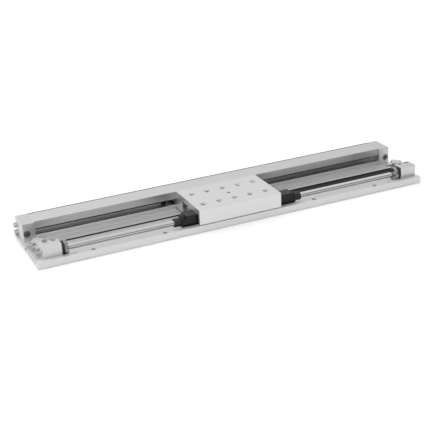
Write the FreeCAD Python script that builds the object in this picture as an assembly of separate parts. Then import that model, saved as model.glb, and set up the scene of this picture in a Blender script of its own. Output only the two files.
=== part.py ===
import FreeCAD, Part
import math
import os

# Low pneumatic slide unit: a magnetically coupled rodless cylinder lies in the channel of
# an aluminium base, and a slide table rides on a ball guide inside the tall rear housing.
# X runs along the stroke, Y from the front lip to the rear housing, Z up. The origin is the
# middle of the underside. All lengths are millimetres. A depth is measured from the front edge.

# Base extrusion
BASE_LENGTH = 572.0
BASE_DEPTH = 112.0
LIP_HEIGHT = 9.5
LIP_WIDTH = 8.0
CHANNEL_FLOOR = 3.0
CHANNEL_END_DEPTH = 61.0
FLOOR_HEIGHT = 5.0
EDGE_RADIUS = 0.5
LIP_HOLE_DEPTH = 4.1
LIP_HOLE_RADIUS = 1.8
LIP_SINK_RADIUS = 3.1
LIP_SINK_LENGTH = 5.5
LIP_BOLT_INSETS = (174.0, 75.0)
LIP_PIN_INSET = 51.0
LIP_PIN_RADIUS = 1.6

# Guide housing, a C-section that stands on the rear of the base
HOUSING_DEPTH = 31.0
HOUSING_TOP = 31.0
HOUSING_WEB = 8.5
HOUSING_LIP_WALL = 3.0
HOUSING_INSET = 20.0
GUIDE_CENTRE_Z = 15.7
SLOT_HEIGHT = 9.2
SLOT_EDGE_RADIUS = 1.2
TOP_GROOVE_WIDTH = 2.2
TOP_GROOVE_SINK = 3.0
TOP_GROOVE_INSET = 0.6
HOUSING_SCREW_COUNT = 6
HOUSING_SCREW_INSET = 41.0

# End caps of the housing
CAP_LENGTH = 17.0
CAP_PROUD = 3.0
CAP_RADIUS = 0.8
CAP_SCREW_Z = (9.5, 20.0)
PORT_PLUG_RADIUS = 4.8
PORT_PLUG_LENGTH = 6.5
PORT_INSET = 5.8
PORT_Z = 16.1
PLUG_HEX = 5.0

# Ball guide
RAIL_WIDTH = 9.0
RAIL_HEIGHT = 5.5
RAIL_INSET = 4.0
RAIL_SCREW_INSET = 52.0
RAIL_SCREW_COUNT = 8
RACEWAY = 0.8
BLOCK_WIDTH = 18.0
BLOCK_HEIGHT = 10.0
BLOCK_FOOT = 1.4
BLOCK_LENGTH = 30.5
BLOCK_CENTRE_X = 57.75
SEAL_THICKNESS = 2.5
SEAL_STEP = 0.6
GUIDE_CLEARANCE = 0.1
BLOCK_SCREW_X = (46.5, 57.5)

# Cylinder
AXIS_Z = 14.4
BORE_RADIUS = 3.0
TUBE_RADIUS = 3.8
TUBE_SEAT = 13.5
COLLAR_INSET = 40.0
COLLAR_RADIUS = 10.0
COLLAR_LENGTH = 4.5
NECK_RADIUS = 9.2
NECK_LENGTH = 4.0
RUNNING_GAP = 0.1
SEAT_GAP = 0.02

# End blocks that hold the tube and the air ports
BLOCK_FRONT_GAP = 0.2
END_BLOCK_WALL = 0.2
END_BLOCK_TOP = 25.4
END_BLOCK_LENGTH = 24.5
WING_LENGTH = 8.0
WING_TOP = 17.2
WING_STEP_GAP = 1.2
END_FOOT_INSET = 1.0
END_FOOT_TOP = 7.5
END_FOOT_GAP = 1.2
AIR_PORT_RADIUS = 2.1
AIR_PORT_LENGTH = 7.0
PASSAGE_RADIUS = 1.25
END_SCREW_OFFSET = (6.8, 17.8)
END_SINK_RADIUS = 3.2
TUBE_TO_SCREW = 1.8

# Stop bolts through the wings, and their counterparts in the table
STOP_DEPTHS = (33.0, 52.0)
STOP_Z = 14.3
STOP_BOLT_LENGTH = 20.0
STOP_NUT_FLATS = 7.0
STOP_NUT_HEIGHT = 3.2
LUG_X = (26.0, 34.0)
LUG_DEPTH = 44.0
LUG_BOTTOM = 9.0
TABLE_STOP_RADIUS = 3.0
TABLE_STOP_X = (22.0, 57.0)
TABLE_STOP_FLATS = 10.0
TABLE_STOP_NUT = 4.0

# Slide table
TABLE_LENGTH = 122.0
TABLE_AT_X = -2.3
TABLE_TOP = 31.5
TABLE_PLATE = 7.5
TABLE_FRONT = 0.7
TABLE_REAR_GAP = 0.6
SKIRT_THICKNESS = 4.5
SKIRT_GAP = 0.7
LEG_THICKNESS = 21.0
LEG_BOTTOM = 7.0
TONGUE_GAP = 0.5
TABLE_RADIUS = 0.5
HOLE_PITCH_X = 23.3
HOLE_PITCH_Y = 39.2
HOLE_CENTRE_DEPTH = 38.8
HOLE_RADIUS = 2.1
HOLE_SINK_RADIUS = 4.2
HOLE_SINK = 1.2
PIN_HOLE_RADIUS = 2.0

# The cylinder and its end parts stand right of the base's middle
CYLINDER_SHIFT = 4.0

# Magnet slider
SLIDER_RADIUS = 9.0
SLIDER_LENGTH = 170.5
SLIDER_SHIFT = 3.0
CHAMBER_WALL = 1.4
BOSS_RADIUS = 6.0
BOSS_LENGTH = 9.5
BUSH_LENGTH = 10.0
SADDLE_LENGTH = 160.0
FLANGE_LENGTH = 90.0
FLANGE_DEPTH = 41.0
FLANGE_BOTTOM = 15.5
FLANGE_SCREW_X = 34.0
FLANGE_SCREW_DEPTH = 35.0
MAGNET_COUNT = 6
MAGNET_WIDTH = 5.0
YOKE_WIDTH = 2.0
MAGNET_TUBE_GAP = 0.5

# Piston assembly inside the tube
SHAFT_RADIUS = 0.75
PISTON_LENGTH = 18.0
PISTON_GAP = 0.05
INNER_MAGNET_RADIUS = 2.7

# Socket head screws: thread radius, head radius, head height, hex across flats
M3 = (1.5, 2.75, 3.0, 2.5)
M4 = (2.0, 3.5, 4.0, 3.0)
HEAD_GAP = 0.15

FRONT = -BASE_DEPTH / 2
HOUSING_END_X = BASE_LENGTH / 2 - HOUSING_INSET
COLLAR_X = BASE_LENGTH / 2 - COLLAR_INSET
HOUSING_FRONT = FRONT + BASE_DEPTH - HOUSING_DEPTH
WEB_FRONT = FRONT + BASE_DEPTH - HOUSING_WEB
WEB_MIDDLE = FRONT + BASE_DEPTH - HOUSING_WEB / 2
END_SCREW_SIDE = TUBE_RADIUS + TUBE_TO_SCREW
END_BLOCK_DEPTH = 2 * (END_SCREW_SIDE + END_SINK_RADIUS + END_BLOCK_WALL)
AXIS_Y = FRONT + LIP_WIDTH + END_BLOCK_DEPTH / 2
CHAMBER_RADIUS = SLIDER_RADIUS - CHAMBER_WALL
OUTER_MAGNET_INNER = TUBE_RADIUS + MAGNET_TUBE_GAP
TABLE_BOTTOM = TABLE_TOP - TABLE_PLATE
BLOCK_FACE = WEB_FRONT - BLOCK_HEIGHT
END_BLOCK_X = COLLAR_X + COLLAR_LENGTH + NECK_LENGTH
STACK = MAGNET_COUNT * MAGNET_WIDTH + (MAGNET_COUNT + 1) * YOKE_WIDTH
CAVITY_HALF = BLOCK_WIDTH / 2 + 0.4


def vec(x, y, z):
    return FreeCAD.Vector(x, y, z)


def box(x0, x1, y0, y1, z0, z1):
    """Box between two corners."""
    low = vec(min(x0, x1), min(y0, y1), min(z0, z1))
    return Part.makeBox(abs(x1 - x0), abs(y1 - y0), abs(z1 - z0), low)


def rod(start, direction, radius, length):
    """Round bar from a start point along a direction."""
    return Part.makeCylinder(radius, length, vec(*start), vec(*direction))


def ring(x0, x1, outer, inner):
    """Ring round the cylinder axis between two X places."""
    low = min(x0, x1)
    length = abs(x1 - x0)
    body = rod((low, AXIS_Y, AXIS_Z), (1, 0, 0), outer, length)
    return body.cut(rod((low - 1, AXIS_Y, AXIS_Z), (1, 0, 0), inner, length + 2))


def fuse(shapes):
    """One solid from touching or overlapping shapes."""
    whole = shapes[0]
    for shape in shapes[1:]:
        whole = whole.fuse(shape)
    return whole.removeSplitter()


def cut(shape, tools):
    """Shape with each tool taken out of it."""
    for tool in tools:
        shape = shape.cut(tool)
    return shape


def outline(corners):
    """Closed wire in the YZ plane through corners (y, z) or (y, z, radius)."""
    count = len(corners)
    edges = []
    starts = []
    ends = []
    middles = []
    for i, corner in enumerate(corners):
        here = vec(0, corner[0], corner[1])
        before = vec(0, *corners[i - 1][:2])
        after = vec(0, *corners[(i + 1) % count][:2])
        radius = corner[2] if len(corner) > 2 else 0.0
        if radius == 0:
            starts.append(here)
            ends.append(here)
            middles.append(None)
            continue
        back = (before - here).normalize()
        forth = (after - here).normalize()
        half = back.getAngle(forth) / 2
        reach = radius / math.tan(half)
        bisector = (back + forth).normalize()
        centre = here + bisector * (radius / math.sin(half))
        starts.append(here + back * reach)
        ends.append(here + forth * reach)
        middles.append(centre - bisector * radius)
    for i in range(count):
        if middles[i] is not None:
            edges.append(Part.Arc(starts[i], middles[i], ends[i]).toShape())
        following = starts[(i + 1) % count]
        if (following - ends[i]).Length > 1e-6:
            edges.append(Part.LineSegment(ends[i], following).toShape())
    return Part.Wire(edges)


def extrusion(corners, x0, x1):
    """Profile in the YZ plane drawn out along X."""
    face = Part.Face(outline(corners))
    face.translate(vec(min(x0, x1), 0, 0))
    return face.extrude(vec(abs(x1 - x0), 0, 0))


def hexagon(at, direction, flats, length):
    """Hexagonal bar from a point along a direction."""
    radius = flats / math.sqrt(3)
    points = [vec(radius * math.cos(math.radians(60 * i)), radius * math.sin(math.radians(60 * i)), 0)
              for i in range(7)]
    bar = Part.Face(Part.makePolygon(points)).extrude(vec(0, 0, length))
    bar.Placement = FreeCAD.Placement(vec(*at), FreeCAD.Rotation(vec(0, 0, 1), vec(*direction)))
    return bar


def socket_screw(at, direction, size, length):
    """Socket head screw: the head's bearing face is at the point, the shank runs along the direction."""
    radius, head, height, flats = size
    way = vec(*direction)
    under = vec(*at)
    crown = under - way * height
    shank = Part.makeCylinder(radius, length, under, way)
    cap = Part.makeCylinder(head, height, crown, way)
    rim = [edge for edge in cap.Edges if edge.Closed and (edge.CenterOfMass - crown).Length < 0.1]
    cap = cap.makeChamfer(0.3, rim)
    socket = hexagon(tuple(crown), direction, flats, height * 0.55)
    return fuse([shank, cap]).cut(socket)


def mirrored(shape):
    """The same shape at the other end of the unit."""
    return shape.mirror(vec(0, 0, 0), vec(1, 0, 0))


def shifted(shape, distance):
    """The same shape moved along X."""
    moved = shape.copy()
    moved.translate(vec(distance, 0, 0))
    return moved


def group(shapes):
    return Part.makeCompound(shapes)


def both_ends(shape):
    return [mirrored(shape), shape]


def make_base():
    """Base extrusion with the front lip, the cylinder channel and the rear floor."""
    back = FRONT + BASE_DEPTH
    corners = [
        (FRONT, 0, EDGE_RADIUS), (back, 0, EDGE_RADIUS), (back, FLOOR_HEIGHT),
        (FRONT + CHANNEL_END_DEPTH, FLOOR_HEIGHT, EDGE_RADIUS), (FRONT + CHANNEL_END_DEPTH, CHANNEL_FLOOR),
        (FRONT + LIP_WIDTH, CHANNEL_FLOOR, EDGE_RADIUS), (FRONT + LIP_WIDTH, LIP_HEIGHT, EDGE_RADIUS),
        (FRONT, LIP_HEIGHT, EDGE_RADIUS),
    ]
    body = extrusion(corners, -BASE_LENGTH / 2, BASE_LENGTH / 2)
    tools = []
    hole_y = FRONT + LIP_HOLE_DEPTH
    half = BASE_LENGTH / 2
    for x in [half - inset for inset in LIP_BOLT_INSETS]:
        for side in (-1, 1):
            tools.append(rod((side * x, hole_y, -1), (0, 0, 1), LIP_HOLE_RADIUS, LIP_HEIGHT + 2))
            tools.append(rod((side * x, hole_y, LIP_HEIGHT - LIP_SINK_LENGTH), (0, 0, 1), LIP_SINK_RADIUS,
                             LIP_SINK_LENGTH + 1))
    for side in (-1, 1):
        tools.append(rod((side * (half - LIP_PIN_INSET), hole_y, -1), (0, 0, 1), LIP_PIN_RADIUS,
                         LIP_HEIGHT + 2))
    head = M3[2] + HEAD_GAP
    for x in housing_screw_places():
        tools.append(rod((x, WEB_MIDDLE, -1), (0, 0, 1), M3[0] + HEAD_GAP, FLOOR_HEIGHT + 2))
        tools.append(rod((x, WEB_MIDDLE, -1), (0, 0, 1), M3[1] + HEAD_GAP, head + 1))
    for x, y in end_screw_places():
        for side in (-1, 1):
            tools.append(rod((side * x + CYLINDER_SHIFT, y, -1), (0, 0, 1), M3[0],
                             CHANNEL_FLOOR + 2))
    return cut(body, tools)


def make_housing():
    """C-section housing: a slot along its front face lets the table's tongue reach the guide."""
    back = FRONT + BASE_DEPTH
    slot_low = GUIDE_CENTRE_Z - SLOT_HEIGHT / 2
    slot_high = GUIDE_CENTRE_Z + SLOT_HEIGHT / 2
    low = GUIDE_CENTRE_Z - CAVITY_HALF
    high = GUIDE_CENTRE_Z + CAVITY_HALF
    inner = HOUSING_FRONT + HOUSING_LIP_WALL
    groove = back - TOP_GROOVE_INSET
    corners = [
        (HOUSING_FRONT, FLOOR_HEIGHT), (back, FLOOR_HEIGHT), (back, HOUSING_TOP, EDGE_RADIUS),
        (groove, HOUSING_TOP), (groove, HOUSING_TOP - TOP_GROOVE_SINK),
        (groove - TOP_GROOVE_WIDTH, HOUSING_TOP - TOP_GROOVE_SINK), (groove - TOP_GROOVE_WIDTH, HOUSING_TOP),
        (HOUSING_FRONT, HOUSING_TOP, EDGE_RADIUS), (HOUSING_FRONT, slot_high, EDGE_RADIUS),
        (inner, slot_high), (inner, high, EDGE_RADIUS), (WEB_FRONT, high, EDGE_RADIUS),
        (WEB_FRONT, low, EDGE_RADIUS), (inner, low, EDGE_RADIUS), (inner, slot_low),
        (HOUSING_FRONT, slot_low, SLOT_EDGE_RADIUS),
    ]
    body = extrusion(corners, -HOUSING_END_X, HOUSING_END_X)
    tools = []
    for x in housing_screw_places():
        tools.append(rod((x, WEB_MIDDLE, 0), (0, 0, 1), M3[0], GUIDE_CENTRE_Z - 3.4))
    for side in (-1, 1):
        for z in CAP_SCREW_Z:
            tools.append(rod((side * HOUSING_END_X, WEB_MIDDLE, z), (-side, 0, 0), M4[0], 12.5))
    for x in rail_screw_places():
        tools.append(rod((x, WEB_FRONT - 1, GUIDE_CENTRE_Z), (0, 1, 0), M3[0], HOUSING_WEB - 1))
    return cut(body, tools)


def spread(count, reach):
    """Evenly spaced places from -reach to reach."""
    return [reach * (2 * i / (count - 1) - 1) for i in range(count)]


def rail_screw_places():
    return spread(RAIL_SCREW_COUNT, HOUSING_END_X - RAIL_INSET - RAIL_SCREW_INSET)


def housing_screw_places():
    return spread(HOUSING_SCREW_COUNT, HOUSING_END_X - HOUSING_SCREW_INSET)


def make_rail():
    """Guide rail with a ball raceway along each side, foot on the housing's web."""
    half = RAIL_WIDTH / 2
    mid = RAIL_HEIGHT * 0.6
    side = [(half, 0), (half, mid - RACEWAY), (half - RACEWAY, mid), (half, mid + RACEWAY),
            (half, RAIL_HEIGHT - 0.4), (half - 0.4, RAIL_HEIGHT)]
    right = [(WEB_FRONT - h, GUIDE_CENTRE_Z + w) for w, h in side]
    left = [(WEB_FRONT - h, GUIDE_CENTRE_Z - w) for w, h in reversed(side)]
    end = HOUSING_END_X - RAIL_INSET
    body = extrusion(right + left, -end, end)
    tools = []
    for x in rail_screw_places():
        face = WEB_FRONT - RAIL_HEIGHT
        tools.append(rod((x, face - 1, GUIDE_CENTRE_Z), (0, 1, 0), M3[0] + HEAD_GAP, RAIL_HEIGHT + 2))
        tools.append(rod((x, face - 1, GUIDE_CENTRE_Z), (0, 1, 0), M3[1] + HEAD_GAP, M3[2] + 0.4 + 1))
    return cut(body, tools)


def make_rail_screws():
    seat = WEB_FRONT - RAIL_HEIGHT + M3[2] + 0.4
    return [socket_screw((x, seat, GUIDE_CENTRE_Z), (0, 1, 0), M3, HOUSING_WEB - 1)
            for x in rail_screw_places()]


def make_housing_screws():
    seat = M3[2] + HEAD_GAP
    return [socket_screw((x, WEB_MIDDLE, seat), (0, 0, 1), M3, GUIDE_CENTRE_Z - 3.6 - seat)
            for x in housing_screw_places()]


def make_cap():
    """Right end cap of the housing, with the plugged port in its front face."""
    x0 = HOUSING_END_X
    x1 = x0 + CAP_LENGTH
    front = HOUSING_FRONT - CAP_PROUD
    back = FRONT + BASE_DEPTH
    body = box(x0, x1, front, back, FLOOR_HEIGHT, HOUSING_TOP)
    rounded = []
    for edge in body.Edges:
        middle = edge.CenterOfMass
        on_top = abs(middle.z - HOUSING_TOP) < 0.01
        on_front = abs(middle.y - front) < 0.01
        on_end = abs(middle.x - x1) < 0.01
        if (on_top and (on_front or on_end)) or (on_front and on_end):
            rounded.append(edge)
    body = body.makeFillet(CAP_RADIUS, rounded)
    port_x = x1 - PORT_INSET
    tools = [rod((port_x, front - 1, PORT_Z), (0, 1, 0), PORT_PLUG_RADIUS + SEAT_GAP,
                 PORT_PLUG_LENGTH + 1.5)]
    for z in CAP_SCREW_Z:
        tools.append(rod((x0 - 1, WEB_MIDDLE, z), (1, 0, 0), M4[0] + HEAD_GAP, CAP_LENGTH + 2))
    return cut(body, tools)


def make_cap_screws():
    x = HOUSING_END_X + CAP_LENGTH
    right = [socket_screw((x, WEB_MIDDLE, z), (-1, 0, 0), M4, CAP_LENGTH + 12) for z in CAP_SCREW_Z]
    return right + [mirrored(screw) for screw in right]


def make_port_plug():
    """Hex socket plug, just below the cap's front face."""
    x = HOUSING_END_X + CAP_LENGTH - PORT_INSET
    face = HOUSING_FRONT - CAP_PROUD + 0.4
    plug = rod((x, face, PORT_Z), (0, 1, 0), PORT_PLUG_RADIUS, PORT_PLUG_LENGTH)
    rim = [edge for edge in plug.Edges if edge.Closed and abs(edge.CenterOfMass.y - face) < 0.01]
    plug = plug.makeChamfer(0.6, rim)
    return plug.cut(hexagon((x, face - 0.1, PORT_Z), (0, 1, 0), PLUG_HEX, 3.6))


def end_screw_places():
    return [(END_BLOCK_X + offset, AXIS_Y + END_SCREW_SIDE) for offset in END_SCREW_OFFSET]


def make_end_block(foot_end):
    """Right end block: it holds the tube and its air port, its rear wing carries the stop bolts and
    its foot reaches to foot_end."""
    x0 = END_BLOCK_X
    x1 = x0 + END_BLOCK_LENGTH
    front = FRONT + LIP_WIDTH + BLOCK_FRONT_GAP
    rear = front + END_BLOCK_DEPTH
    main = box(x0, x1, front, rear, CHANNEL_FLOOR, END_BLOCK_TOP)
    top_edges = [edge for edge in main.Edges
                 if abs(edge.CenterOfMass.z - END_BLOCK_TOP) < 0.01
                 or (abs(edge.CenterOfMass.y - front) < 0.01 and len(edge.Vertexes) == 2
                     and abs(edge.Vertexes[0].Z - edge.Vertexes[1].Z) > 1)]
    main = main.makeFillet(EDGE_RADIUS, top_edges)
    wing_rear = FRONT + CHANNEL_END_DEPTH - WING_STEP_GAP
    wing = box(x1 - WING_LENGTH, x1, rear, wing_rear, CHANNEL_FLOOR, WING_TOP)
    foot = box(x1, foot_end, FRONT + LIP_WIDTH + END_FOOT_GAP, wing_rear, CHANNEL_FLOOR, END_FOOT_TOP)
    body = fuse([main, wing, foot])
    tools = [
        rod((x0 - 1, AXIS_Y, AXIS_Z), (1, 0, 0), TUBE_RADIUS + SEAT_GAP, TUBE_SEAT + 1),
        rod((x0, AXIS_Y, AXIS_Z), (1, 0, 0), PASSAGE_RADIUS, END_BLOCK_LENGTH + 1),
        rod((x1 - AIR_PORT_LENGTH, AXIS_Y, AXIS_Z), (1, 0, 0), AIR_PORT_RADIUS, AIR_PORT_LENGTH + 1),
    ]
    for x, y in end_screw_places():
        tools.append(rod((x, y, 0), (0, 0, 1), M3[0] + HEAD_GAP, END_BLOCK_TOP + 1))
        tools.append(rod((x, y, END_BLOCK_TOP - M3[2] - 0.3), (0, 0, 1), END_SINK_RADIUS, M3[2] + 2))
    for depth in STOP_DEPTHS:
        tools.append(rod((x1 - WING_LENGTH - 1, FRONT + depth, STOP_Z), (1, 0, 0), M4[0], WING_LENGTH + 2))
    return cut(body, tools)


def make_end_screws():
    seat = END_BLOCK_TOP - M3[2] - 0.3
    right = [socket_screw((x, y, seat), (0, 0, -1), M3, seat - 0.4) for x, y in end_screw_places()]
    return right + [mirrored(screw) for screw in right]


def make_stop_bolts():
    """Stroke adjusting bolts with their heads on the wings' outer faces."""
    x1 = END_BLOCK_X + END_BLOCK_LENGTH
    right = [socket_screw((x1, FRONT + depth, STOP_Z), (-1, 0, 0), M4, STOP_BOLT_LENGTH)
             for depth in STOP_DEPTHS]
    return right + [mirrored(bolt) for bolt in right]


def make_stop_nuts():
    """Lock nuts of the stop bolts, on the wings' inner faces."""
    face = END_BLOCK_X + END_BLOCK_LENGTH - WING_LENGTH
    nuts = []
    for depth in STOP_DEPTHS:
        at = (face - STOP_NUT_HEIGHT, FRONT + depth, STOP_Z)
        nut = hexagon(at, (1, 0, 0), STOP_NUT_FLATS, STOP_NUT_HEIGHT)
        nuts += both_ends(nut.cut(rod(at, (1, 0, 0), M4[0], STOP_NUT_HEIGHT)))
    return nuts


def make_tube():
    end = END_BLOCK_X + TUBE_SEAT
    return ring(-end, end, TUBE_RADIUS, BORE_RADIUS)


def make_collar():
    """Bright end collar on the tube, turned with a recessed face towards the slider."""
    x0 = COLLAR_X
    x1 = x0 + COLLAR_LENGTH
    body = ring(x0, x1, COLLAR_RADIUS, TUBE_RADIUS + SEAT_GAP)
    rims = [edge for edge in body.Edges
            if edge.Closed and abs(edge.Length - 2 * math.pi * COLLAR_RADIUS) < 0.01]
    body = body.makeChamfer(0.6, rims)
    return body.cut(ring(x0 - 1, x0 + 0.8, COLLAR_RADIUS - 1.8, TUBE_RADIUS - 1))


def make_neck():
    """Black rubber ring between the collar and the end block."""
    x0 = COLLAR_X + COLLAR_LENGTH
    return ring(x0, x0 + NECK_LENGTH, NECK_RADIUS, TUBE_RADIUS + SEAT_GAP)


def make_table():
    """Slide table: front skirt, top plate, rear leg and the tongue that enters the housing's slot."""
    front = FRONT + TABLE_FRONT
    rear = HOUSING_FRONT - TABLE_REAR_GAP
    leg = rear - LEG_THICKNESS
    low = GUIDE_CENTRE_Z - SLOT_HEIGHT / 2 + TONGUE_GAP
    high = GUIDE_CENTRE_Z + SLOT_HEIGHT / 2 - TONGUE_GAP
    skirt = LIP_HEIGHT + SKIRT_GAP
    corners = [
        (front, skirt, TABLE_RADIUS), (front + SKIRT_THICKNESS, skirt, TABLE_RADIUS),
        (front + SKIRT_THICKNESS, TABLE_BOTTOM, 1.0), (leg, TABLE_BOTTOM, 1.0),
        (leg, LEG_BOTTOM, TABLE_RADIUS), (rear, LEG_BOTTOM, TABLE_RADIUS), (rear, low, TABLE_RADIUS),
        (BLOCK_FACE, low), (BLOCK_FACE, high), (rear, high, TABLE_RADIUS),
        (rear, TABLE_TOP, TABLE_RADIUS), (front, TABLE_TOP, TABLE_RADIUS),
    ]
    body = extrusion(corners, -TABLE_LENGTH / 2, TABLE_LENGTH / 2)
    lug = box(LUG_X[0], LUG_X[1], FRONT + LUG_DEPTH, leg + 1, LUG_BOTTOM, TABLE_BOTTOM + 1)
    body = fuse([body] + both_ends(lug))
    middle = FRONT + HOLE_CENTRE_DEPTH
    tools = [rod((0, middle, TABLE_BOTTOM - 1), (0, 0, 1), PIN_HOLE_RADIUS, TABLE_PLATE + 2)]
    for row in (-0.5, 0.5):
        y = middle + row * HOLE_PITCH_Y
        for column in (-2, -1, 0, 1, 2):
            x = column * HOLE_PITCH_X
            tools.append(rod((x, y, TABLE_BOTTOM - 1), (0, 0, 1), HOLE_RADIUS, TABLE_PLATE + 2))
            tools.append(rod((x, y, TABLE_TOP - HOLE_SINK), (0, 0, 1), HOLE_SINK_RADIUS, HOLE_SINK + 1))
    for x in BLOCK_SCREW_X:
        for side in (-1, 1):
            tools.append(rod((side * x, leg - 1, GUIDE_CENTRE_Z), (0, 1, 0), M3[0] + HEAD_GAP, 60))
            tools.append(rod((side * x, leg - 1, GUIDE_CENTRE_Z), (0, 1, 0), M3[1] + HEAD_GAP, M3[2] + 1.4))
    for side in (-1, 1):
        flange_screw = (side * FLANGE_SCREW_X + SLIDER_SHIFT, FRONT + FLANGE_SCREW_DEPTH, TABLE_BOTTOM - 1)
        tools.append(rod(flange_screw, (0, 0, 1), M3[0], 6))
        tools.append(rod((side * LUG_X[0], FRONT + STOP_DEPTHS[1], STOP_Z), (side, 0, 0), TABLE_STOP_RADIUS,
                         LUG_X[1] - LUG_X[0]))
    return cut(body, tools)


def make_table_stops():
    """Bolts in the table's lugs, in line with the rear stop bolts, with a socket in the outer end."""
    start, end = TABLE_STOP_X
    bolt = rod((start, FRONT + STOP_DEPTHS[1], STOP_Z), (1, 0, 0), TABLE_STOP_RADIUS, end - start)
    rims = [edge for edge in bolt.Edges if edge.Closed]
    bolt = bolt.makeChamfer(0.5, rims)
    return both_ends(bolt.cut(hexagon((end - 3, FRONT + STOP_DEPTHS[1], STOP_Z), (1, 0, 0), M4[3], 4)))


def make_table_stop_nuts():
    at = (LUG_X[1], FRONT + STOP_DEPTHS[1], STOP_Z)
    nut = hexagon(at, (1, 0, 0), TABLE_STOP_FLATS, TABLE_STOP_NUT)
    return both_ends(nut.cut(rod(at, (1, 0, 0), TABLE_STOP_RADIUS, TABLE_STOP_NUT)))


def make_block_screws():
    """Screws that join the table's leg to the two guide blocks."""
    seat = HOUSING_FRONT - TABLE_REAR_GAP - LEG_THICKNESS + M3[2] + 0.4
    length = BLOCK_FACE + 3.4 - seat
    return [socket_screw((side * x, seat, GUIDE_CENTRE_Z), (0, 1, 0), M3, length)
            for x in BLOCK_SCREW_X for side in (-1, 1)]


def block_profile(grow):
    """U-shaped section of the guide block, open towards the rail's foot."""
    half = BLOCK_WIDTH / 2 - grow
    inner = RAIL_WIDTH / 2 + GUIDE_CLEARANCE + grow / 2
    top = RAIL_HEIGHT + 2 * GUIDE_CLEARANCE + grow / 2
    mid = RAIL_HEIGHT * 0.6
    height = BLOCK_HEIGHT - grow
    side = [(inner, BLOCK_FOOT + grow), (half, BLOCK_FOOT + grow, 0.6), (half, height, 0.8)]
    inside = [(inner, top), (inner, mid + RACEWAY), (inner + RACEWAY / 2, mid), (inner, mid - RACEWAY)]
    right = [(WEB_FRONT - p[1], GUIDE_CENTRE_Z + p[0], *p[2:]) for p in side]
    left = [(WEB_FRONT - p[1], GUIDE_CENTRE_Z - p[0], *p[2:]) for p in reversed(side)]
    left_in = [(WEB_FRONT - h, GUIDE_CENTRE_Z - w) for w, h in reversed(inside)]
    right_in = [(WEB_FRONT - h, GUIDE_CENTRE_Z + w) for w, h in inside]
    return right + left + left_in + right_in


def make_guide_block():
    """Right guide block of the carriage."""
    x0 = BLOCK_CENTRE_X - BLOCK_LENGTH / 2
    body = extrusion(block_profile(0.0), x0, x0 + BLOCK_LENGTH)
    tools = [rod((x, BLOCK_FACE - 1, GUIDE_CENTRE_Z), (0, 1, 0), M3[0], 4.5) for x in BLOCK_SCREW_X]
    return cut(body, tools)


def make_seals():
    """Rubber end seals of both guide blocks."""
    seals = []
    for x0 in (BLOCK_CENTRE_X - BLOCK_LENGTH / 2 - SEAL_THICKNESS, BLOCK_CENTRE_X + BLOCK_LENGTH / 2):
        seal = extrusion(block_profile(SEAL_STEP / 2), x0, x0 + SEAL_THICKNESS)
        seals += both_ends(seal)
    return seals


def make_slider():
    """Black slider body round the tube, with the saddle and flange that bolt under the table."""
    half = SLIDER_LENGTH / 2
    barrel = rod((-half, AXIS_Y, AXIS_Z), (1, 0, 0), SLIDER_RADIUS, SLIDER_LENGTH)
    rims = [edge for edge in barrel.Edges if edge.Closed]
    barrel = barrel.makeFillet(1.2, rims)
    saddle_front = AXIS_Y - SLIDER_RADIUS + 0.4
    flange_rear = FRONT + FLANGE_DEPTH
    saddle_rear = AXIS_Y + SLIDER_RADIUS - 0.4
    saddle = [(saddle_front, AXIS_Z), (saddle_rear, AXIS_Z), (saddle_rear, TABLE_BOTTOM, TABLE_RADIUS),
              (saddle_front, TABLE_BOTTOM, TABLE_RADIUS)]
    flange = [(AXIS_Y, FLANGE_BOTTOM), (flange_rear, FLANGE_BOTTOM, 1.0), (flange_rear, TABLE_BOTTOM),
              (AXIS_Y, TABLE_BOTTOM)]
    body = fuse([barrel, extrusion(saddle, -SADDLE_LENGTH / 2, SADDLE_LENGTH / 2),
                 extrusion(flange, -FLANGE_LENGTH / 2, FLANGE_LENGTH / 2)])
    tools = [rod((-half - 1, AXIS_Y, AXIS_Z), (1, 0, 0), CHAMBER_RADIUS, SLIDER_LENGTH + 2)]
    y = FRONT + FLANGE_SCREW_DEPTH
    for side in (-1, 1):
        x = side * FLANGE_SCREW_X
        tools.append(rod((x, y, FLANGE_BOTTOM - 1), (0, 0, 1), M3[0] + HEAD_GAP, 20))
        tools.append(rod((x, y, FLANGE_BOTTOM - 1), (0, 0, 1), M3[1] + HEAD_GAP, M3[2] + 1.4))
    return cut(body, tools)


def make_slider_screws():
    y = FRONT + FLANGE_SCREW_DEPTH
    seat = FLANGE_BOTTOM + M3[2] + 0.4
    return [socket_screw((side * FLANGE_SCREW_X, y, seat), (0, 0, 1), M3, TABLE_BOTTOM + 4.5 - seat)
            for side in (-1, 1)]


def make_bush():
    """Right slider bush: it closes the magnet chamber and its boss carries the scraper."""
    half = SLIDER_LENGTH / 2
    inner = TUBE_RADIUS + RUNNING_GAP
    plug = ring(half - BUSH_LENGTH, half, CHAMBER_RADIUS - SEAT_GAP, inner)
    boss = ring(half, half + BOSS_LENGTH, BOSS_RADIUS, inner)
    end = half + BOSS_LENGTH
    return fuse([plug, boss]).cut(ring(end - 2, end + 1, BOSS_RADIUS - 0.6, inner - 1))


def make_scraper():
    end = SLIDER_LENGTH / 2 + BOSS_LENGTH
    return ring(end - 2, end, BOSS_RADIUS - 0.6 - SEAT_GAP, TUBE_RADIUS + RUNNING_GAP)


def stack_rings(outer, inner, width, first, count):
    """Row of equal rings along the cylinder axis, one magnet and one yoke apart."""
    pitch = MAGNET_WIDTH + YOKE_WIDTH
    return [ring(first + i * pitch, first + i * pitch + width, outer, inner) for i in range(count)]


def make_outer_magnets():
    return stack_rings(CHAMBER_RADIUS - SEAT_GAP, OUTER_MAGNET_INNER, MAGNET_WIDTH, YOKE_WIDTH - STACK / 2,
                       MAGNET_COUNT)


def make_outer_yokes():
    return stack_rings(CHAMBER_RADIUS - SEAT_GAP, OUTER_MAGNET_INNER - 0.2, YOKE_WIDTH, -STACK / 2,
                       MAGNET_COUNT + 1)


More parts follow.
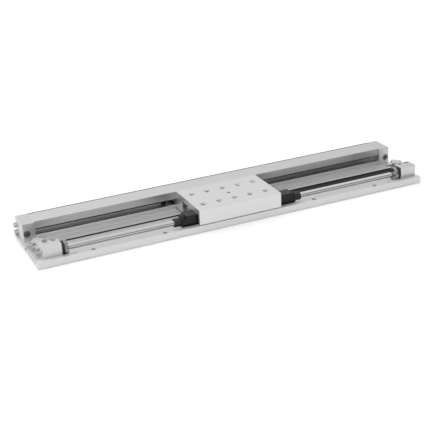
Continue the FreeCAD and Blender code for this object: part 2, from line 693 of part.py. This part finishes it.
def make_spacers():
    inner_end = SLIDER_LENGTH / 2 - BUSH_LENGTH
    return both_ends(ring(STACK / 2, inner_end, CHAMBER_RADIUS - SEAT_GAP, CHAMBER_RADIUS - 2.0))


def make_inner_magnets():
    return stack_rings(INNER_MAGNET_RADIUS, SHAFT_RADIUS + SEAT_GAP, MAGNET_WIDTH, YOKE_WIDTH - STACK / 2,
                       MAGNET_COUNT)


def make_inner_yokes():
    return stack_rings(INNER_MAGNET_RADIUS + 0.1, SHAFT_RADIUS + SEAT_GAP, YOKE_WIDTH, -STACK / 2,
                       MAGNET_COUNT + 1)


def piston_grooves():
    """Start, end and floor radius of the seal groove and the wear ring groove."""
    seal = STACK / 2 + PISTON_LENGTH * 0.55
    wear = STACK / 2 + PISTON_LENGTH * 0.15
    return (seal, seal + 1.6, 2.1), (wear, wear + 3.0, 2.5)


def make_piston():
    x0 = STACK / 2
    outer = BORE_RADIUS - PISTON_GAP
    body = ring(x0, x0 + PISTON_LENGTH, outer, SHAFT_RADIUS + SEAT_GAP)
    for start, end, floor in piston_grooves():
        body = body.cut(ring(start, end, outer + 1, floor))
    return body


def make_piston_rings(which):
    start, end, floor = piston_grooves()[which]
    return both_ends(ring(start + 0.05, end - 0.05, BORE_RADIUS - 0.03, floor + SEAT_GAP))


def make_shaft():
    end = STACK / 2 + PISTON_LENGTH
    return rod((-end, AXIS_Y, AXIS_Z), (1, 0, 0), SHAFT_RADIUS, 2 * end)


def make_piston_bumpers():
    end = STACK / 2 + PISTON_LENGTH
    return both_ends(rod((end, AXIS_Y, AXIS_Z), (1, 0, 0), 2.4, 2.0))


def build():
    cap = make_cap()
    foot_end = BASE_LENGTH / 2 - END_FOOT_INSET
    left_block = mirrored(make_end_block(foot_end + CYLINDER_SHIFT))
    right_block = make_end_block(foot_end - CYLINDER_SHIFT)
    collar = make_collar()
    neck = make_neck()
    guide = make_guide_block()
    bush = make_bush()
    piston = make_piston()
    plug = make_port_plug()
    fixed = {
        "base_profile": make_base(),
        "guide_housing": make_housing(),
        "housing_screws": group(make_housing_screws()),
        "guide_rail": make_rail(),
        "rail_screws": group(make_rail_screws()),
        "left_housing_cap": mirrored(cap),
        "right_housing_cap": cap,
        "cap_screws": group(make_cap_screws()),
        "left_port_plug": mirrored(plug),
        "right_port_plug": plug,
    }
    cylinder = {
        "left_end_block": left_block,
        "right_end_block": right_block,
        "end_block_screws": group(make_end_screws()),
        "stop_bolts": group(make_stop_bolts()),
        "stop_nuts": group(make_stop_nuts()),
        "cylinder_tube": make_tube(),
        "left_collar": mirrored(collar),
        "right_collar": collar,
        "left_neck_ring": mirrored(neck),
        "right_neck_ring": neck,
    }
    carriage = {
        "slide_table": make_table(),
        "left_guide_block": mirrored(guide),
        "right_guide_block": guide,
        "guide_end_seals": group(make_seals()),
        "guide_block_screws": group(make_block_screws()),
        "table_stop_bolts": group(make_table_stops()),
        "table_stop_nuts": group(make_table_stop_nuts()),
    }
    slider = {
        "slider_body": make_slider(),
        "slider_screws": group(make_slider_screws()),
        "left_slider_bush": mirrored(bush),
        "right_slider_bush": bush,
        "tube_scrapers": group(both_ends(make_scraper())),
        "outer_magnets": group(make_outer_magnets()),
        "outer_yokes": group(make_outer_yokes()),
        "slider_spacers": group(make_spacers()),
    }
    piston_set = {
        "left_piston": mirrored(piston),
        "right_piston": piston,
        "piston_shaft": make_shaft(),
        "inner_magnets": group(make_inner_magnets()),
        "inner_yokes": group(make_inner_yokes()),
        "piston_seals": group(make_piston_rings(0)),
        "piston_wear_rings": group(make_piston_rings(1)),
        "piston_bumpers": group(make_piston_bumpers()),
    }
    nodes = dict(fixed)
    for name, shape in cylinder.items():
        nodes[name] = shifted(shape, CYLINDER_SHIFT)
    for name, shape in carriage.items():
        nodes[name] = shifted(shape, TABLE_AT_X)
    for name, shape in list(slider.items()) + list(piston_set.items()):
        nodes[name] = shifted(shape, TABLE_AT_X + SLIDER_SHIFT)
    return nodes


def main():
    os.makedirs("parts", exist_ok=True)
    for name, shape in build().items():
        for solid in shape.Solids:
            if not solid.isValid():
                raise ValueError(name + " has an invalid solid")
        shape.exportStep("parts/" + name + ".step")
        print(name, len(shape.Solids), "solids", round(shape.Volume, 1), "mm3")


main()
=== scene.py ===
import math

import bmesh
import bpy
from mathutils import Matrix, Vector


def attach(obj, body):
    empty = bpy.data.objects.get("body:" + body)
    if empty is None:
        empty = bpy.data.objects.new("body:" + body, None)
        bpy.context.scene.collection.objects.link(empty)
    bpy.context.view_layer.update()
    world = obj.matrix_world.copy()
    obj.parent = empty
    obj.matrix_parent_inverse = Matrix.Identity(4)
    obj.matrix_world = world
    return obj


MM = 0.001

# Camera: eye and aim in millimetres in the unit's frame, roll in degrees
EYE = (-548.9, -1220.3, 572.0)
LOOK = (0.3687, 0.8387, -0.4008)
ROLL = -2.71
FOCAL_PIXELS = 1040.19
FRAME_PIXELS = 436.0
SENSOR = 36.0
CAMERA_REACH = (0.01, 100.0)

# Screw threads, in millimetres: the CAD shanks are plain, and each thread stands on one
FRONT = -56.0
STOP_Z = 14.3
STOP_Y = (FRONT + 33.0, FRONT + 52.0)
STOP_THREAD = {"radius": 2.0, "pitch": 0.7, "start": 267.7, "length": 8.2}
TABLE_THREAD = {"radius": 3.0, "pitch": 1.0, "start": 38.1, "length": 17.6}
TABLE_AT_X = -2.3
CYLINDER_AT_X = 4.0
THREAD_STEPS = 24
THREAD_HEIGHT = 0.3
THREAD_ROOT_SINK = 0.05
# The ridge's section: its foot, crest and foot, as shares of one pitch
THREAD_SECTION = (0.05, 0.5, 0.95)

# Painted shade in the channel: a dark band over its floor right of the table, and a painted shadow line along
# the low step at its rear. Each part has limits along the axes: where it starts and where it is full, in
# millimetres
PAINTED_CHANNEL_SHADE = [
    [("X", 30.0, 95.0), ("X", 285.9, 285.5),
     ("Y", -13.0, -11.0), ("Y", 5.6, 5.2),
     ("Z", 1.0, 2.0), ("Z", 4.9, 4.0)],
    [("X", -285.9, -285.5), ("X", 285.9, 285.5),
     ("Y", 3.8, 4.4), ("Y", 5.6, 5.3),
     ("Z", 1.0, 2.0), ("Z", 5.0, 4.7)],
]
# Flat dark colour of the painted shade in the channel
PAINTED_SHADE_COLOUR = "#3a3a3a"

# Grain of every finish, and the colour sockets of a Mix node
GRAIN_DETAIL = 3.0
BUMP_STRENGTH = 0.5
MIX_FACTOR = 0
MIX_A = 6
MIX_B = 7
MIX_RESULT = 2

# Studio, in metres. A lamp has a name, a place, an aim, a size and a power in watts
FLOOR_SIZE = 14.0
FLOOR_Z = -0.0005
FLOOR_COLOUR = "#fbfbfb"
WORLD_COLOUR = "#ffffff"
LAMPS = [
    ("top", (-0.6, 0.2, 2.6), (0.0, 0.0, 0.0), 1.6, 5.0),
    ("front", (-0.6, -1.9, 1.2), (0.0, 0.0, 0.0), 1.4, 12.0),
]
# Brightness of the surroundings. Each entry runs along one axis of the direction looked in: from a value, to
# a value, and what it adds at each
SURROUNDINGS = [
    ("X", -1.0, 1.0, 0.32, -0.40),
    ("Y", -0.6, 0.3, 0.46, 0.88),
    ("Z", 0.30, 0.9, 0.0, 0.76),
    ("Z", 0.82, 1.0, 0.0, -0.75),
]


def linear(code):
    """Linear colour with alpha from an sRGB hex code."""
    parts = [int(code[i:i + 2], 16) / 255 for i in (1, 3, 5)]
    return [p / 12.92 if p <= 0.04045 else ((p + 0.055) / 1.055) ** 2.4 for p in parts] + [1.0]


def shaded(code, factor):
    """Linear colour of a hex code, made darker or lighter by a factor."""
    return [part * factor for part in linear(code)[:3]] + [1.0]


def add(tree, kind, links=(), outputs=(), **settings):
    """Adds a node: links are (input, source socket), outputs are (output, target socket), and a setting
    goes on the socket of that name or else on the node."""
    node = tree.nodes.new(kind)
    for name, value in settings.items():
        label = name.replace("_", " ").title()
        if label in node.inputs:
            node.inputs[label].default_value = value
        else:
            setattr(node, name, value)
    for name, source in links:
        tree.links.new(source, node.inputs[name])
    for name, target in outputs:
        tree.links.new(node.outputs[name], target)
    return node


def finish(name, colour, metallic, roughness, grain_mm, spread, tone=0.02, bump_mm=0.0):
    """Surface whose gloss, tone and relief vary with one grain, of a size along each axis in millimetres."""
    mat = bpy.data.materials.new(name)
    mat.use_nodes = True
    tree = mat.node_tree
    shader = tree.nodes["Principled BSDF"]
    shader.inputs["Metallic"].default_value = metallic
    coords = add(tree, "ShaderNodeTexCoord")
    place = add(tree, "ShaderNodeMapping", [("Vector", coords.outputs["Object"])],
                scale=[1 / (size * MM) for size in grain_mm])
    noise = add(tree, "ShaderNodeTexNoise", [("Vector", place.outputs["Vector"])], scale=1.0,
                detail=GRAIN_DETAIL)
    height = noise.outputs["Fac"]
    add(tree, "ShaderNodeMapRange", [("Value", height)], [("Result", shader.inputs["Roughness"])],
        to_min=roughness - spread, to_max=roughness + spread)
    mix = add(tree, "ShaderNodeMix", [(MIX_FACTOR, height)], [(MIX_RESULT, shader.inputs["Base Color"])],
              data_type="RGBA")
    mix.inputs[MIX_A].default_value = shaded(colour, 1 - tone)
    mix.inputs[MIX_B].default_value = shaded(colour, 1 + tone)
    if bump_mm:
        add(tree, "ShaderNodeBump", [("Height", height)], [("Normal", shader.inputs["Normal"])],
            strength=BUMP_STRENGTH, distance=bump_mm * MM)
    return mat, shader


def anodised_extrusion():
    """Clear anodised aluminium extrusion: a satin sheen with faint die lines along X."""
    return finish("anodised_extrusion", "#d0d0d0", 1.0, 0.38, (60.0, 0.5, 0.5), 0.03, 0.015, 0.002)[0]


def anodised_base_and_painted_shade():
    """Milled and clear anodised aluminium of the base: matter than the housing, with cutter lines along X,
    and painted shade in its channel.
    """
    mat, shader = finish("anodised_base_and_painted_shade", "#d3d3d3", 0.62, 0.48, (60.0, 0.8, 0.8), 0.03, 0.015, 0.002)
    tree = mat.node_tree
    coords = add(tree, "ShaderNodeTexCoord")
    axes = add(tree, "ShaderNodeSeparateXYZ", [("Vector", coords.outputs["Object"])])
    painted_shade = None
    for limits in PAINTED_CHANNEL_SHADE:
        inside = None
        for axis, start, full in limits:
            ramp = add(tree, "ShaderNodeMapRange", [("Value", axes.outputs[axis])],
                       interpolation_type="SMOOTHSTEP", from_min=start * MM, from_max=full * MM)
            part = ramp.outputs["Result"]
            if inside:
                part = add(tree, "ShaderNodeMath", [(0, inside), (1, part)], operation="MULTIPLY").outputs[0]
            inside = part
        if painted_shade:
            inside = add(tree, "ShaderNodeMath", [(0, painted_shade), (1, inside)], operation="MAXIMUM").outputs[0]
        painted_shade = inside
    # Painted shade: a flat dark colour mixed over the base colour inside the channel limits
    plain = shader.inputs["Base Color"].links[0].from_socket
    mix = add(tree, "ShaderNodeMix", [(MIX_FACTOR, painted_shade), (MIX_A, plain)],
              [(MIX_RESULT, shader.inputs["Base Color"])], data_type="RGBA")
    mix.inputs[MIX_B].default_value = linear(PAINTED_SHADE_COLOUR)
    return mat


def anodised_plate():
    """Milled, blasted and clear anodised aluminium of the table: even and satin."""
    return finish("anodised_plate", "#d8d8d8", 1.0, 0.43, (0.5, 0.5, 0.5), 0.03, 0.01, 0.002)[0]


def anodised_block():
    """Milled and clear anodised aluminium of the end blocks and caps: a little duller than the table."""
    return finish("anodised_block", "#cccccc", 1.0, 0.40, (0.5, 0.5, 0.5), 0.03, 0.01, 0.002)[0]


def stainless():
    """Drawn and polished stainless steel tube: mirror streaks along X."""
    return finish("stainless", "#c8c8ca", 1.0, 0.13, (40.0, 0.3, 0.3), 0.03)[0]


def turned_aluminium():
    """Turned aluminium of the collars: rings of fine tool marks round X."""
    return finish("turned_aluminium", "#909090", 1.0, 0.26, (0.2, 3.0, 3.0), 0.04, 0.04, 0.003)[0]


def black_anodised():
    """Black anodised aluminium of the slider: a soft dark satin."""
    mat, shader = finish("black_anodised", "#0f0f0f", 0.0, 0.36, (0.4, 0.4, 0.4), 0.05, 0.05)
    shader.inputs["Specular IOR Level"].default_value = 0.3
    return mat


def black_rubber():
    """Black nitrile rubber of rings and seals: nearly without gloss."""
    return finish("black_rubber", "#0e0e0e", 0.0, 0.6, (0.3, 0.3, 0.3), 0.06, 0.05)[0]


def zinc_steel():
    """Bright zinc plated steel of the screws: small clear highlights."""
    return finish("zinc_steel", "#bcbcbe", 1.0, 0.28, (0.3, 0.3, 0.3), 0.05, 0.04, 0.004)[0]


def plated_steel():
    """Dull plated steel of the port plugs: a dark grey sheen."""
    return finish("plated_steel", "#828282", 1.0, 0.36, (0.3, 0.3, 0.3), 0.04, 0.04)[0]


def black_oxide_steel():
    """Black oxide steel of the rail screws: a dark oily sheen."""
    return finish("black_oxide_steel", "#2a2a2a", 0.6, 0.34, (0.3, 0.3, 0.3), 0.05, 0.05)[0]


def ground_steel():
    """Ground bearing steel of the guide rail and blocks: fine grinding lines along X."""
    return finish("ground_steel", "#b4b4b6", 1.0, 0.22, (20.0, 0.3, 0.3), 0.04)[0]


def nickel_magnet():
    """Nickel plated magnet rings: a warm grey gloss."""
    return finish("nickel_magnet", "#a9a7a0", 1.0, 0.25, (0.5, 0.5, 0.5), 0.03)[0]


def white_acetal():
    """White acetal of the wear rings and spacers: waxy and even."""
    return finish("white_acetal", "#d8d6cc", 0.0, 0.45, (0.6, 0.6, 0.6), 0.04)[0]


def black_acetal():
    """Black acetal of the slider bushes: a smooth moulded half gloss."""
    return finish("black_acetal", "#181818", 0.0, 0.42, (0.6, 0.6, 0.6), 0.04, 0.04)[0]


def turned_brass():
    """Turned brass of the pistons: yellow, with tool marks round X."""
    return finish("turned_brass", "#b9975a", 1.0, 0.30, (0.2, 2.0, 2.0), 0.05)[0]


LOOKS = [
    (anodised_extrusion, ["guide_housing"]),
    (anodised_base_and_painted_shade, ["base_profile"]),
    (anodised_plate, ["slide_table"]),
    (anodised_block, ["left_housing_cap", "right_housing_cap", "left_end_block", "right_end_block"]),
    (stainless, ["cylinder_tube", "piston_shaft"]),
    (turned_aluminium, ["left_collar", "right_collar"]),
    (black_anodised, ["slider_body"]),
    (black_rubber, ["left_neck_ring", "right_neck_ring", "tube_scrapers", "guide_end_seals", "piston_seals",
                    "piston_bumpers"]),
    (zinc_steel, ["cap_screws", "housing_screws", "guide_block_screws", "slider_screws", "stop_bolts",
                  "stop_nuts", "table_stop_bolts", "table_stop_nuts", "end_block_screws"]),
    (plated_steel, ["left_port_plug", "right_port_plug"]),
    (black_oxide_steel, ["rail_screws"]),
    (ground_steel, ["guide_rail", "left_guide_block", "right_guide_block", "outer_yokes", "inner_yokes"]),
    (nickel_magnet, ["outer_magnets", "inner_magnets"]),
    (white_acetal, ["slider_spacers", "piston_wear_rings"]),
    (black_acetal, ["left_slider_bush", "right_slider_bush"]),
    (turned_brass, ["left_piston", "right_piston"]),
]


def paint(nodes):
    """Gives each CAD node its material and returns the materials by maker."""
    made = {}
    for maker, names in LOOKS:
        made[maker] = maker()
        for name in names:
            slots = nodes[name].data.materials
            slots.clear()
            slots.append(made[maker])
    return made


def show(shape, name, mat):
    """Turns a bmesh into an object in the scene."""
    mesh = bpy.data.meshes.new(name)
    shape.to_mesh(mesh)
    shape.free()
    mesh.materials.append(mat)
    piece = bpy.data.objects.new(name, mesh)
    bpy.context.scene.collection.objects.link(piece)
    return piece


def thread(name, start, side, size, mat, body):
    """Thread ridge on a plain shank along X: a triangle spun round the shank while it moves towards side."""
    root = (size["radius"] - THREAD_ROOT_SINK) * MM
    crest = (size["radius"] + THREAD_HEIGHT * size["pitch"]) * MM
    pitch = size["pitch"] * MM
    turns = size["length"] / size["pitch"] - 1
    centre = Vector(start) * MM
    shape = bmesh.new()
    corners = zip(THREAD_SECTION, (root, crest, root))
    section = shape.faces.new([shape.verts.new(centre + Vector((side * pitch * along, radius, 0)))
                               for along, radius in corners])
    bmesh.ops.spin(shape, geom=[section], cent=centre, axis=(1, 0, 0),
                   dvec=(side * pitch / THREAD_STEPS, 0, 0), angle=2 * math.pi * turns,
                   steps=int(turns * THREAD_STEPS))
    bmesh.ops.recalc_face_normals(shape, faces=shape.faces)
    piece = show(shape, name, mat)
    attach(piece, body)


def make_threads(mat):
    """Threads of the stop bolts on both end blocks, and of the two bolts in the table's tunnel."""
    for side, end in ((-1, "left"), (1, "right")):
        stop_x = CYLINDER_AT_X + side * STOP_THREAD["start"]
        table_x = TABLE_AT_X + side * TABLE_THREAD["start"]
        for number, y in enumerate(STOP_Y):
            thread("stop_thread_%s_%d" % (end, number), (stop_x, y, STOP_Z), -side, STOP_THREAD, mat, "base")
        thread("table_stop_thread_" + end, (table_x, STOP_Y[1], STOP_Z), side, TABLE_THREAD, mat, "carriage")


def make_floor():
    """White painted studio floor under the unit: matt and even."""
    shape = bmesh.new()
    bmesh.ops.create_grid(shape, size=FLOOR_SIZE / 2, matrix=Matrix.Translation((0, 0, FLOOR_Z)))
    mat = finish("studio_floor", FLOOR_COLOUR, 0.0, 0.95, (50.0, 50.0, 50.0), 0.02, 0.0)[0]
    show(shape, "studio_floor", mat)


def make_studio():
    """White surroundings, brighter behind and above the unit, with two soft square lamps."""
    world = bpy.data.worlds.new("studio")
    world.use_nodes = True
    tree = world.node_tree
    sky = tree.nodes["Background"]
    sky.inputs["Color"].default_value = linear(WORLD_COLOUR)
    coords = add(tree, "ShaderNodeTexCoord")
    axes = add(tree, "ShaderNodeSeparateXYZ", [("Vector", coords.outputs["Generated"])])
    total = None
    for axis, low, high, start, end in SURROUNDINGS:
        part = add(tree, "ShaderNodeMapRange", [("Value", axes.outputs[axis])], from_min=low, from_max=high,
                   to_min=start, to_max=end).outputs["Result"]
        if total:
            part = add(tree, "ShaderNodeMath", [(0, total), (1, part)], operation="ADD").outputs[0]
        total = part
    tree.links.new(total, sky.inputs["Strength"])
    bpy.context.scene.world = world
    bpy.context.scene.view_settings.view_transform = "Standard"
    for name, place, aim, size, power in LAMPS:
        lamp = bpy.data.lights.new(name, "AREA")
        lamp.size = size
        lamp.energy = power
        holder = bpy.data.objects.new(name, lamp)
        holder.matrix_world = Matrix.Translation(place) @ (
            Vector(aim) - Vector(place)).to_track_quat("-Z", "Y").to_matrix().to_4x4()
        bpy.context.scene.collection.objects.link(holder)


def make_camera():
    """Camera at the photograph's angle, from a fit to the unit's parallel edges."""
    forward = Vector(LOOK).normalized()
    right = forward.cross(Vector((0, 0, 1))).normalized()
    up = right.cross(forward)
    roll = math.radians(ROLL)
    side = right * math.cos(roll) + up * math.sin(roll)
    head = up * math.cos(roll) - right * math.sin(roll)
    turn = Matrix((side, head, -forward)).transposed().to_4x4()
    data = bpy.data.cameras.new("camera")
    data.sensor_width = SENSOR
    data.lens = FOCAL_PIXELS / FRAME_PIXELS * SENSOR
    data.clip_start, data.clip_end = CAMERA_REACH
    camera = bpy.data.objects.new("camera", data)
    camera.matrix_world = Matrix.Translation([v * MM for v in EYE]) @ turn
    bpy.context.scene.collection.objects.link(camera)
    bpy.context.scene.camera = camera


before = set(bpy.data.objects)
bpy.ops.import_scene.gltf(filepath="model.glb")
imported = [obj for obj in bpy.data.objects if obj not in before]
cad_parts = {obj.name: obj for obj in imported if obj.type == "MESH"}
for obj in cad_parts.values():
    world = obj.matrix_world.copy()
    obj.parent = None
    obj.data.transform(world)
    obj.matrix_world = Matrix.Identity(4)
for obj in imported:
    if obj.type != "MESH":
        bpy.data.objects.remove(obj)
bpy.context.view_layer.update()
materials = paint(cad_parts)
make_threads(materials[zinc_steel])
make_floor()
make_studio()
make_camera()
